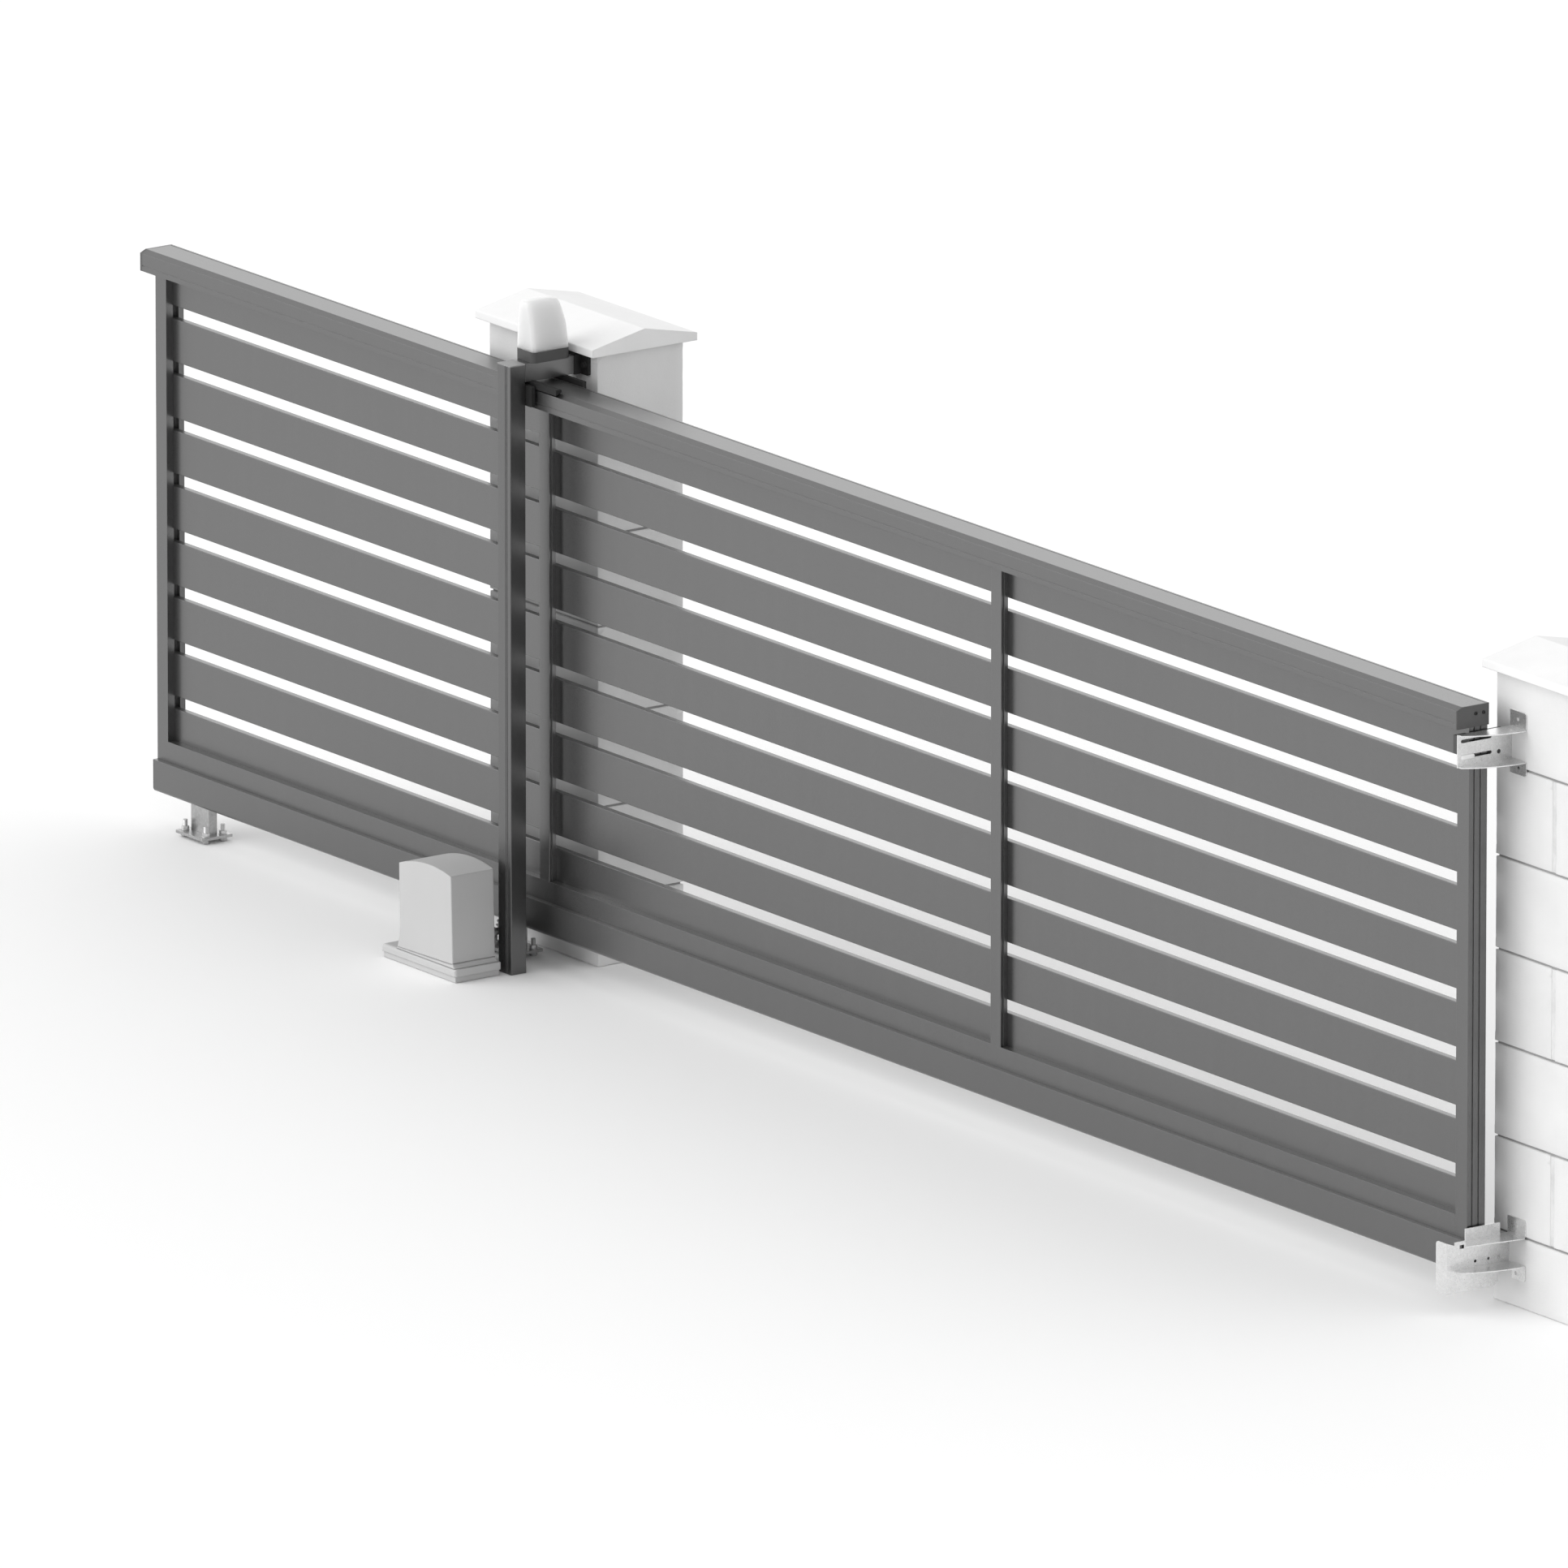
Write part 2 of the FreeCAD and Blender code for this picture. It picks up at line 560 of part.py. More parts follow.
def make_lower_catch():
    """Pocket for the beam's end: stop plate, front cheek and tongue, with two webs to the wall."""
    z0, z1, y0 = 55.0, 192.0, 16.5
    outline = [
        (y0, z0), (162, z0), (180, 64), (180, 114), (PILLAR_FRONT, 114), (PILLAR_FRONT, z1), (185, z1),
        (185, 223.5), (73, 223.5), (73, z1), (39, z1), (39, z1 - 9), (y0, z1)]
    catch = bar_along_x(outline, STOP_X, STOP_X + SHEET)
    catch = catch.cut(block(STOP_X - 1, STOP_X + SHEET + 1, 55, 71, 172, 182))
    cheek = block(STOP_X - 44, STOP_X + SHEET, y0 - SHEET, y0, z0, z1)
    cheek = round_edges(cheek, 10, lambda box: box.YLength > 2 and box.XMax < STOP_X)
    catch = catch.fuse(cheek)
    catch = catch.fuse(gusset((4217, 38), (4231, 130), 4243, z1 - SHEET, 73))
    catch = catch.fuse(gusset((4196, 35), (4233, 128), 4243, 114, 35))
    catch = catch.fuse(wall_tab(STOP_X, 4243, z1 - SHEET, 238.5, 4207, 216))
    catch = catch.fuse(wall_tab(4186, 4243, 73, 114 + SHEET, 4204, 90))
    for y in (105.6, 148, 180):
        catch = catch.cut(hole_through_x(y, 132, 4))
    return catch.removeSplitter()


# Pillars
def make_pillar(x0):
    return block(x0, x0 + PILLAR_WIDTH, PILLAR_FRONT, PILLAR_FRONT + PILLAR_DEPTH, 0, PILLAR_TOP)


def make_coping(x0):
    """Saddle coping: level edges, two slopes meeting in a ridge along X."""
    front = PILLAR_FRONT - COPING_FRONT
    back = PILLAR_FRONT + PILLAR_DEPTH + COPING_FRONT
    middle = (front + back) / 2.0
    edge = PILLAR_TOP + COPING_EDGE
    outline = [
        (front, PILLAR_TOP), (back, PILLAR_TOP), (back, edge), (middle, PILLAR_TOP + COPING_HEIGHT), (front, edge)]
    coping = bar_along_x(outline, x0 - COPING_SIDE, x0 + PILLAR_WIDTH + COPING_SIDE)
    return round_edges(coping, 3, lambda box: abs(box.ZMin - edge) < 1 and abs(box.ZMax - edge) < 1)


save(make_beam(), "bottom_beam")
save(make_beam_cap(LEAF_X0), "beam_rear_cap")
save(make_beam_cap(LEAF_X1 - END_CAP), "beam_front_cap")
save(make_bottom_rail(), "bottom_rail")
save(make_stile(LEAF_X0, 1), "rear_stile")
save(make_stile(LEAF_X1 - STILE_WIDTH, -1), "front_stile")
save(make_cap_rail(), "top_cap_rail")
save(make_cap_plate(LEAF_X0 - 10, LEAF_X0), "cap_rear_plate")
save(make_cap_plate(LEAF_X1, LEAF_X1 + 4), "cap_front_plate")
for index in range(SLAT_COUNT):
    save(make_slat(index), "slat_%d" % (index + 1))
for name, centre in MULLION_CENTRES.items():
    save(make_mullion(centre), name)
save(make_rack(), "drive_rack")
save(make_pinion(), "drive_pinion")

save(make_post(), "guide_post")
save(make_post_cap(), "guide_post_cap")
save(make_arm(), "portal_arm")
save(make_wall_plate(), "arm_wall_plate")
save(make_front_guide(), "front_guide_shoe")
save(make_rear_guide(), "rear_guide_shoe")
save(make_guide_pad(), "front_guide_pad")
save(make_lamp_base(), "lamp_base")
save(make_lamp_dome(), "lamp_dome")
save(make_motor_base(), "motor_base")
save(make_motor_cover(), "motor_cover")
save(make_motor_nose(), "motor_gear_nose")
for side, centre in CARRIAGE_CENTRES.items():
    save(make_carriage_base(centre), side + "_carriage_base")
    save(make_carriage_truck(centre), side + "_carriage_truck")
    save(make_axle(centre - WHEEL_SPACING / 2.0), side + "_carriage_axle_a")
    save(make_axle(centre + WHEEL_SPACING / 2.0), side + "_carriage_axle_b")
save(make_upper_catch(), "upper_catch")
save(make_guide_block(41, 78, 1497), "upper_guide_block")
save(make_guide_block(149, 190, 1470), "upper_guide_block_rear")
save(make_lower_catch(), "lower_catch")
save(make_pillar(INNER_PILLAR_X0), "inner_pillar")
save(make_coping(INNER_PILLAR_X0), "inner_pillar_coping")
save(make_pillar(CLOSING_PILLAR_X0), "closing_pillar")
save(make_coping(CLOSING_PILLAR_X0), "closing_pillar_coping")
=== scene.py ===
# %% [markdown]
# # Dressing a sliding driveway gate
# The gate is a long slatted leaf that slides sideways behind a post, driven by a small motor. Its hard
# parts were drawn as solids first and packed as a frame. This lesson loads that frame, gives each surface
# its finish, and adds what a solid model leaves plain: the pillars' blocks, nuts, threads, screws and the
# lamp's smooth lens. The frame itself is never moved, so every piece stays where the drawing put it.

# %% Load the frame
import json
import math

import bmesh
import bpy
from mathutils import Matrix, Vector, noise


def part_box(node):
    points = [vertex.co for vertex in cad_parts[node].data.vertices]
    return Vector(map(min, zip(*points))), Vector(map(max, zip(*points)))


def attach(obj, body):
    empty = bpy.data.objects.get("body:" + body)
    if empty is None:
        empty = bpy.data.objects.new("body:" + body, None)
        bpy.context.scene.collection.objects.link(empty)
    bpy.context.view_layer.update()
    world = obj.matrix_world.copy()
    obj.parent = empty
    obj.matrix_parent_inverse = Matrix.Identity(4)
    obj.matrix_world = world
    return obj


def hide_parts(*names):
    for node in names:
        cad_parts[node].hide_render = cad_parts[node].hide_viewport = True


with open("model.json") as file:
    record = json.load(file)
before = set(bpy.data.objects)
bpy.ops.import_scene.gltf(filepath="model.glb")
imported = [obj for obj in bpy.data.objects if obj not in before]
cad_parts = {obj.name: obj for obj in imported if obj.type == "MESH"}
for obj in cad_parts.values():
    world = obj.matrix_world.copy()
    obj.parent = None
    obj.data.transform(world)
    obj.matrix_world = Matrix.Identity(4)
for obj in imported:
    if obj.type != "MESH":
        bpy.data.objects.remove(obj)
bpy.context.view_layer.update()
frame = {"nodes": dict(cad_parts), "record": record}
nodes = frame["nodes"]

# %% [markdown]
# ## Camera
# The gate is seen from far away through a long lens, so its long edges stay almost parallel. A camera can
# be placed by eye, but here the angle, the distance and the point at the middle of the picture are known,
# so the camera stands on a line from that point and simply looks back along it.

# %% Camera
LOOK_AT = Vector((1.1285, 0.0855, 0.7514))
AZIMUTH = math.radians(54.398)
ELEVATION = math.radians(14.940)
DISTANCE = 94.71
LENS = 821.5

back = Vector((
    math.sin(AZIMUTH) * math.cos(ELEVATION),
    -math.cos(AZIMUTH) * math.cos(ELEVATION),
    math.sin(ELEVATION)))
camera = bpy.data.objects.new("camera", bpy.data.cameras.new("camera"))
camera.data.lens = LENS
camera.data.sensor_width = 36.0
camera.data.clip_end = 500.0
camera.location = LOOK_AT + back * DISTANCE
camera.rotation_mode = "QUATERNION"
camera.rotation_quaternion = (-back).to_track_quat("-Z", "Y")
bpy.context.scene.collection.objects.link(camera)
bpy.context.scene.camera = camera
print("camera at", [round(v, 2) for v in camera.location])

# %% [markdown]
# ## Floor and light
# A product picture uses a pale floor and one broad light with plenty of fill. A sun lamp with a wide angle
# gives the same soft shading along the whole six metres of the leaf, where a lamp close by would fade. It
# stands low in front and to the left, so the front faces are bright, the faces to the right are in shade and
# the cap rail throws no hard shadow on the slat below it. A weaker one behind lies where the camera sees it
# mirrored in level faces: it lights the tops of the slats and of the cap rail without touching the fronts.

# %% Floor and light
bpy.context.scene.view_settings.view_transform = "Standard"
bpy.context.scene.view_settings.look = "None"

FLOOR_HALF = 60.0
FLOOR_Z = -0.001
FLOOR_TONE = 0.97
floor_corners = [
    (x * FLOOR_HALF, y * FLOOR_HALF, FLOOR_Z) for x, y in ((-1, -1), (1, -1), (1, 1), (-1, 1))]
floor_mesh = bpy.data.meshes.new("floor")
floor_mesh.from_pydata(floor_corners, [], [(0, 1, 2, 3)])
floor = bpy.data.objects.new("floor", floor_mesh)
bpy.context.scene.collection.objects.link(floor)
floor_paint = bpy.data.materials.new("pale floor")
floor_paint.use_nodes = True
floor_shader = floor_paint.node_tree.nodes["Principled BSDF"]
floor_shader.inputs["Base Color"].default_value = (FLOOR_TONE, FLOOR_TONE, FLOOR_TONE, 1.0)
floor_shader.inputs["Roughness"].default_value = 0.9
floor_mesh.materials.append(floor_paint)


def sun_lamp(name, strength, softness, towards):
    """Distant lamp that stands in the given direction, seen from the gate."""
    lamp = bpy.data.objects.new(name, bpy.data.lights.new(name, "SUN"))
    lamp.data.energy = strength
    lamp.data.angle = math.radians(softness)
    lamp.rotation_mode = "QUATERNION"
    lamp.rotation_quaternion = (-Vector(towards)).to_track_quat("-Z", "Y")
    bpy.context.scene.collection.objects.link(lamp)


sun_lamp("key light", strength=1.65, softness=60, towards=(-0.42, -0.80, 0.42))
sun_lamp("back light", strength=0.30, softness=46, towards=(-0.77, 0.55, 0.30))

WORLD_LEVEL = 0.83
sky = bpy.data.worlds.new("studio")
sky.use_nodes = True
fill = sky.node_tree.nodes["Background"]
fill.inputs["Color"].default_value = (1.0, 1.0, 1.0, 1.0)
fill.inputs["Strength"].default_value = WORLD_LEVEL
bpy.context.scene.world = sky
print("lights:", [lamp.name for lamp in bpy.data.lights], "fill", WORLD_LEVEL)

# %% [markdown]
# ## Building node groups
# Several finishes share the same effects: a fine grain, soft worn edges, dust on level faces, rain streaks.
# Each effect is one shader node group with named sockets, built once. The helpers below make a group, add
# a node with its settings, and join sockets, so that each effect reads as a short recipe.

# %% Helpers for node trees
def new_group(name, inputs, outputs):
    """Shader node group; inputs maps a socket name to its default value, outputs to a socket type."""
    tree = bpy.data.node_groups.new(name, "ShaderNodeTree")
    for label, value in inputs.items():
        socket = tree.interface.new_socket(label, in_out="INPUT", socket_type="NodeSocketFloat")
        socket.default_value = value
    for label, kind in outputs.items():
        tree.interface.new_socket(label, in_out="OUTPUT", socket_type="NodeSocket" + kind)
    return tree, tree.nodes.new("NodeGroupInput"), tree.nodes.new("NodeGroupOutput")


def add(tree, kind, **settings):
    made = tree.nodes.new("ShaderNode" + kind)
    for label, value in settings.items():
        setattr(made, label, value)
    return made


def join(tree, source, target):
    """Link a socket into another, or set the target if source is a plain value."""
    if isinstance(source, bpy.types.NodeSocket):
        tree.links.new(source, target)
    else:
        target.default_value = source


def maths(tree, operation, first, second=0.0, clamp=False):
    made = add(tree, "Math", operation=operation, use_clamp=clamp)
    join(tree, first, made.inputs[0])
    join(tree, second, made.inputs[1])
    return made.outputs[0]


def spread(tree, value, low, high, out_low=0.0, out_high=1.0):
    """Map a value from one range to another, held inside it."""
    made = add(tree, "MapRange", clamp=True)
    join(tree, value, made.inputs["Value"])
    for label, number in (("From Min", low), ("From Max", high), ("To Min", out_low), ("To Max", out_high)):
        join(tree, number, made.inputs[label])
    return made.outputs["Result"]


def noise_value(tree, vector, scale, detail):
    made = add(tree, "TexNoise")
    join(tree, vector, made.inputs["Vector"])
    join(tree, scale, made.inputs["Scale"])
    join(tree, detail, made.inputs["Detail"])
    return made.outputs["Fac"]


def tint(tree, factor, first, second, blend="MIX"):
    """Mix two colours; each may be a socket or a grey level."""
    made = add(tree, "Mix", data_type="RGBA", blend_type=blend)
    join(tree, factor, made.inputs[0])
    for colour, target in ((first, made.inputs[6]), (second, made.inputs[7])):
        if isinstance(colour, float):
            colour = (colour, colour, colour, 1.0)
        join(tree, colour, target)
    return made.outputs[2]


# %% [markdown]
# ## Shared effects
# Grain and drift are noise in the object's own coordinates, so they travel with a moving leaf. Soft edges
# come from the bevel node: it looks a little way round and gives a normal that rolls over a sharp corner,
# and where that normal leaves the true one there is an edge, which is where paint wears. Dust lies on what
# faces up. Streaks are the same noise, stretched along the way rain runs.

# %% Grain and drift
grain_group, grain_in, grain_out = new_group(
    "Fine grain", {"Scale": 900.0, "Detail": 2.0, "Drift Scale": 3.0},
    {"Height": "Float", "Drift": "Float"})
where = add(grain_group, "TexCoord").outputs["Object"]
fine_height = noise_value(grain_group, where, grain_in.outputs["Scale"], grain_in.outputs["Detail"])
join(grain_group, fine_height, grain_out.inputs["Height"])
slow = noise_value(grain_group, where, grain_in.outputs["Drift Scale"], 5.0)
join(grain_group, spread(grain_group, slow, 0.3, 0.7), grain_out.inputs["Drift"])
print("group:", grain_group.name)

# %% Soft and worn edges
edge_group, edge_in, edge_out = new_group(
    "Soft edges", {"Radius": 0.002, "Breakup": 60.0}, {"Normal": "Vector", "Wear": "Float"})
rolled = add(edge_group, "Bevel", samples=4)
join(edge_group, edge_in.outputs["Radius"], rolled.inputs["Radius"])
agreement = add(edge_group, "VectorMath", operation="DOT_PRODUCT")
join(edge_group, rolled.outputs["Normal"], agreement.inputs[0])
join(edge_group, add(edge_group, "NewGeometry").outputs["True Normal"], agreement.inputs[1])
turned = spread(edge_group, agreement.outputs["Value"], 0.97, 0.80)
where = add(edge_group, "TexCoord").outputs["Object"]
patchy = noise_value(edge_group, where, edge_in.outputs["Breakup"], 4.0)
worn = maths(edge_group, "MULTIPLY", turned, spread(edge_group, patchy, 0.42, 0.62))
join(edge_group, worn, edge_out.inputs["Wear"])
join(edge_group, rolled.outputs["Normal"], edge_out.inputs["Normal"])
print("group:", edge_group.name)

# %% Dust and streaks
dust_group, dust_in, dust_out = new_group(
    "Settled dust", {"Scale": 90.0, "Steepest": 0.93}, {"Mask": "Float"})
upward = add(dust_group, "SeparateXYZ")
join(dust_group, add(dust_group, "NewGeometry").outputs["Normal"], upward.inputs[0])
lying = spread(dust_group, upward.outputs["Z"], dust_in.outputs["Steepest"], 0.99)
where = add(dust_group, "TexCoord").outputs["Object"]
cloudy = noise_value(dust_group, where, dust_in.outputs["Scale"], 5.0)
covered = maths(dust_group, "MULTIPLY", lying, spread(dust_group, cloudy, 0.25, 0.75, 0.75, 1.0))
join(dust_group, covered, dust_out.inputs["Mask"])

streak_group, streak_in, streak_out = new_group(
    "Rain streaks", {"Width": 30.0, "Length": 1.5}, {"Mask": "Float"})
stretch = add(streak_group, "CombineXYZ")
for axis, label in (("X", "Width"), ("Y", "Width"), ("Z", "Length")):
    join(streak_group, streak_in.outputs[label], stretch.inputs[axis])
drawn = add(streak_group, "VectorMath", operation="MULTIPLY")
join(streak_group, add(streak_group, "TexCoord").outputs["Object"], drawn.inputs[0])
join(streak_group, stretch.outputs[0], drawn.inputs[1])
long_noise = noise_value(streak_group, drawn.outputs[0], 1.0, 4.0)
join(streak_group, spread(streak_group, long_noise, 0.48, 0.72), streak_out.inputs["Mask"])
print("groups:", dust_group.name, "and", streak_group.name)

# %% [markdown]
# ## Two more effects
# Hot-dip zinc freezes into flat crystals, each turned its own way, so a galvanised sheet is a patchwork of
# slightly different greys. Voronoi cells with a random tone give that. Cast concrete shows small dark pores
# where air was caught: here they are the deepest points of a fine noise.

# %% Zinc crystals and concrete pores
crystal_group, crystal_in, crystal_out = new_group("Zinc crystals", {"Scale": 170.0}, {"Tone": "Float"})
cells = add(crystal_group, "TexVoronoi")
join(crystal_group, add(crystal_group, "TexCoord").outputs["Object"], cells.inputs["Vector"])
join(crystal_group, crystal_in.outputs["Scale"], cells.inputs["Scale"])
grey = add(crystal_group, "RGBToBW")
join(crystal_group, cells.outputs["Color"], grey.inputs[0])
join(crystal_group, grey.outputs[0], crystal_out.inputs["Tone"])

pore_group, pore_in, pore_out = new_group(
    "Concrete pores", {"Scale": 420.0, "Amount": 0.32}, {"Mask": "Float"})
where = add(pore_group, "TexCoord").outputs["Object"]
fine_noise = noise_value(pore_group, where, pore_in.outputs["Scale"], 3.0)
deepest = maths(pore_group, "SUBTRACT", pore_in.outputs["Amount"], fine_noise)
join(pore_group, spread(pore_group, deepest, 0.0, 0.05), pore_out.inputs["Mask"])
print("all groups:", sorted(group.name for group in bpy.data.node_groups))

# %% [markdown]
# ## A recipe for finishes
# Powder coat, moulded plastic, galvanised sheet and cast concrete differ in their numbers more than in
# their kind: a base tone that drifts a little, a grain that the light catches, edges that show through,
# some dust and some rain. One function places the groups in a material and sets those numbers; the shader
# itself stays in the material, where its plain values sit on its own sockets.

# %% Finish function
PIT_SHADE = 0.45
ROUGHNESS_SWING = 0.06


def place(tree, group, **values):
    """Put a node group in a material and set its inputs."""
    made = tree.nodes.new("ShaderNodeGroup")
    made.node_tree = group
    for label, value in values.items():
        made.inputs[label.replace("_", " ")].default_value = value
    return made


def finish(name, tone, roughness, metallic=0.0, specular=0.5, ior=1.5, drift=0.08, drift_scale=3.0,
           grain=900.0, detail=2.0, bump=0.1, depth=0.0002, radius=0.002, edge_tone=None, wear=0.5, dust=0.1,
           dust_tone=0.6, steepest=0.93, streaks=0.0, streak_tone=0.2, crystals=0.0, pores=0.0):
    """Material from the shared effects; tones are grey levels of reflected light."""
    made = bpy.data.materials.new(name)
    made.use_nodes = True
    tree = made.node_tree
    shader = tree.nodes["Principled BSDF"]
    shader.inputs["Metallic"].default_value = metallic
    shader.inputs["Specular IOR Level"].default_value = specular
    shader.inputs["IOR"].default_value = ior
    fine = place(tree, grain_group, Scale=grain, Detail=detail, Drift_Scale=drift_scale)
    edges = place(tree, edge_group, Radius=radius)
    colour = tint(tree, fine.outputs["Drift"], tone * (1 - drift), tone * (1 + drift))
    height = fine.outputs["Height"]
    if crystals > 0:
        zinc = place(tree, crystal_group)
        patch = spread(tree, zinc.outputs["Tone"], 0.0, 1.0, 1 - crystals, 1 + crystals)
        colour = tint(tree, 1.0, colour, patch, "MULTIPLY")
    if pores > 0:
        pits = place(tree, pore_group)
        colour = tint(tree, maths(tree, "MULTIPLY", pits.outputs["Mask"], pores), colour, tone * PIT_SHADE)
        height = maths(tree, "SUBTRACT", height, pits.outputs["Mask"])
    if edge_tone is not None:
        colour = tint(tree, maths(tree, "MULTIPLY", edges.outputs["Wear"], wear), colour, edge_tone)
    if streaks > 0:
        rain = place(tree, streak_group)
        colour = tint(tree, maths(tree, "MULTIPLY", rain.outputs["Mask"], streaks), colour, streak_tone)
    if dust > 0:
        settled = place(tree, dust_group, Steepest=steepest)
        colour = tint(tree, maths(tree, "MULTIPLY", settled.outputs["Mask"], dust), colour, dust_tone)
    join(tree, colour, shader.inputs["Base Color"])
    smoothest = roughness - ROUGHNESS_SWING
    roughest = roughness + ROUGHNESS_SWING
    uneven = spread(tree, fine.outputs["Height"], 0.2, 0.8, smoothest, roughest)
    join(tree, uneven, shader.inputs["Roughness"])
    raised = add(tree, "Bump")
    raised.inputs["Strength"].default_value = bump
    raised.inputs["Distance"].default_value = depth
    join(tree, height, raised.inputs["Height"])
    join(tree, edges.outputs["Normal"], raised.inputs["Normal"])
    join(tree, raised.outputs["Normal"], shader.inputs["Normal"])
    return made


# %% [markdown]
# ## Finishes of the metal and plastic parts
# The leaf, the post and the arm are powder-coated aluminium: nearly black in itself, with a satin sheen that
# mirrors the pale floor, so that fronts look mid grey and shaded sides dark. It has the faint orange peel of
# baked powder and paler edges. The catches are galvanised sheet; the carriages are zinc on thick steel,
# painted darker as painted shade for the shadow under the beam. Motor and lamp are moulded plastic; the lens
# is milky, so light is scattered inside it. Each gets its own numbers in the one recipe.

# %% Metal and plastic finishes
finishes = {
    "anthracite": finish(
        "anthracite powder coat", 0.012, 0.30, specular=1.0, ior=1.75, drift=0.06, bump=0.2, radius=0.0016,
        edge_tone=0.08, dust=0.2, dust_tone=0.2, streaks=0.08, streak_tone=0.05),
    "anthracite_cap": finish(
        "anthracite end plate", 0.012, 0.34, specular=0.75, ior=1.7, drift=0.06, bump=0.25, radius=0.0012,
        edge_tone=0.12, dust_tone=0.2),
    "grey_cap": finish(
        "pale post cap", 0.25, 0.55, grain=1400.0, bump=0.2, radius=0.001, edge_tone=0.4, dust_tone=0.3),
    "black_steel": finish(
        "black painted steel", 0.022, 0.5, specular=0.3, bump=0.2, radius=0.001, edge_tone=0.09,
        dust_tone=0.3),
    "nylon": finish(
        "black nylon", 0.02, 0.6, specular=0.2, grain=1600.0, bump=0.15, radius=0.001, edge_tone=0.05,
        dust=0.05, dust_tone=0.2),
    "lamp_base": finish(
        "dark lamp base", 0.048, 0.5, grain=1500.0, bump=0.25, radius=0.002, edge_tone=0.1, dust_tone=0.3),
    "lamp_lens": finish(
        "milky lamp lens", 0.61, 0.32, drift=0.02, grain=1200.0, bump=0.05, radius=0.001, dust=0.05),
    "motor_plastic": finish(
        "light grey motor shell", 0.495, 0.55, drift=0.03, grain=1500.0, bump=0.3, radius=0.004,
        edge_tone=0.60, wear=0.6, dust_tone=0.45, streaks=0.06, streak_tone=0.40),
    "gear_cast": finish("cast gearbox nose", 0.45, 0.5, metallic=0.8, grain=500.0, bump=0.4, edge_tone=0.6),
    "gear_steel": finish(
        "oiled steel teeth", 0.20, 0.38, metallic=0.9, grain=700.0, bump=0.2, radius=0.0006, edge_tone=0.4,
        dust=0.0),
    "galvanised": finish(
        "galvanised sheet", 0.78, 0.30, metallic=0.92, drift=0.06, drift_scale=8.0, grain=300.0,
        radius=0.0008, edge_tone=0.80, dust_tone=0.5, crystals=0.06),
    "post_coat": finish(
        "post powder coat", 0.010, 0.30, specular=1.0, ior=1.7, drift=0.06, bump=0.25, radius=0.0016,
        edge_tone=0.1, dust_tone=0.2, streaks=0.08, streak_tone=0.06),
    # The carriages' zinc is painted darker than the catches' galvanised sheet: painted shade for the shadow
    # under the beam.
    "carriage_zinc_painted_shade": finish(
        "carriage zinc darkened as painted shade", 0.44, 0.34, metallic=0.92, drift=0.1, drift_scale=14.0, grain=300.0,
        radius=0.001, edge_tone=0.62, dust_tone=0.3, crystals=0.12),
    "grey_nylon": finish(
        "dark grey nylon", 0.055, 0.5, specular=0.4, grain=1600.0, bump=0.15, radius=0.001, edge_tone=0.09,
        dust=0.05, dust_tone=0.2),
    "zinc_plate": finish(
        "zinc plated fastener", 0.66, 0.36, metallic=0.7, grain=700.0, radius=0.0004, edge_tone=0.8,
        dust=0.15, dust_tone=0.4),
    "bright_zinc": finish(
        "bright zinc washer", 0.92, 0.35, metallic=0.2, grain=700.0, radius=0.0004, edge_tone=0.95, dust=0.0),
}
MILK_DEPTH = 0.09
milk = finishes["lamp_lens"].node_tree.nodes["Principled BSDF"]
milk.inputs["Subsurface Weight"].default_value = 1.0
milk.inputs["Subsurface Radius"].default_value = (MILK_DEPTH, MILK_DEPTH, MILK_DEPTH)
milk.inputs["Subsurface Scale"].default_value = 1.0
print("metal and plastic finishes:", len(finishes))

# %% [markdown]
# ## Finishes of the concrete
# The copings are cast in a smooth mould, the blocks are sawn and a little rougher. The mortar is coarser: in
# the wide upright joints it is nearly as pale as the blocks; in the thin bed joints it is painted darker, as
# painted shade for the deep, narrow groove. All have pores.

# %% Concrete finishes
finishes["coping"] = finish(
    "white cast concrete", 0.82, 0.85, specular=0.3, drift=0.03, drift_scale=6.0, grain=350.0, detail=5.0,
    bump=0.5, depth=0.0006, radius=0.004, edge_tone=0.88, dust=0.4, dust_tone=0.9, steepest=0.6, streaks=0.05,
    streak_tone=0.6, pores=0.2)
finishes["block"] = finish(
    "pale concrete block", 0.72, 0.88, specular=0.3, drift=0.04, drift_scale=5.0, grain=260.0, detail=6.0,
    bump=0.6, depth=0.0008, radius=0.003, edge_tone=0.85, wear=0.6, dust=0.0, streaks=0.06, streak_tone=0.6,
    pores=0.25)
finishes["upright_mortar"] = finish(
    "mortar of the upright joints", 0.66, 0.92, specular=0.2, drift=0.1, drift_scale=20.0, grain=500.0,
    detail=6.0, bump=0.9, depth=0.001, radius=0.001, dust=0.0, pores=0.4)
# The bed mortar's darker tone is painted shade for the deep, narrow bed joints, not a darker mortar.
finishes["bed_mortar"] = finish(
    "bed joint mortar darkened as painted shade", 0.34, 0.92, specular=0.2, drift=0.12, drift_scale=20.0, grain=500.0,
    detail=6.0, bump=0.9, depth=0.001, radius=0.001, dust=0.0, pores=0.4)
print("all finishes:", len(finishes))

# %% [markdown]
# ## Handing out the finishes
# Each solid names a slot in the record and takes the finish of that slot. A few look different from the rest
# of their slot: the post has a coat of its own, the carriages a zinc painted darker as painted shade under
# the beam, and the catch's guide blocks are grey instead of black. They stand in a short list.

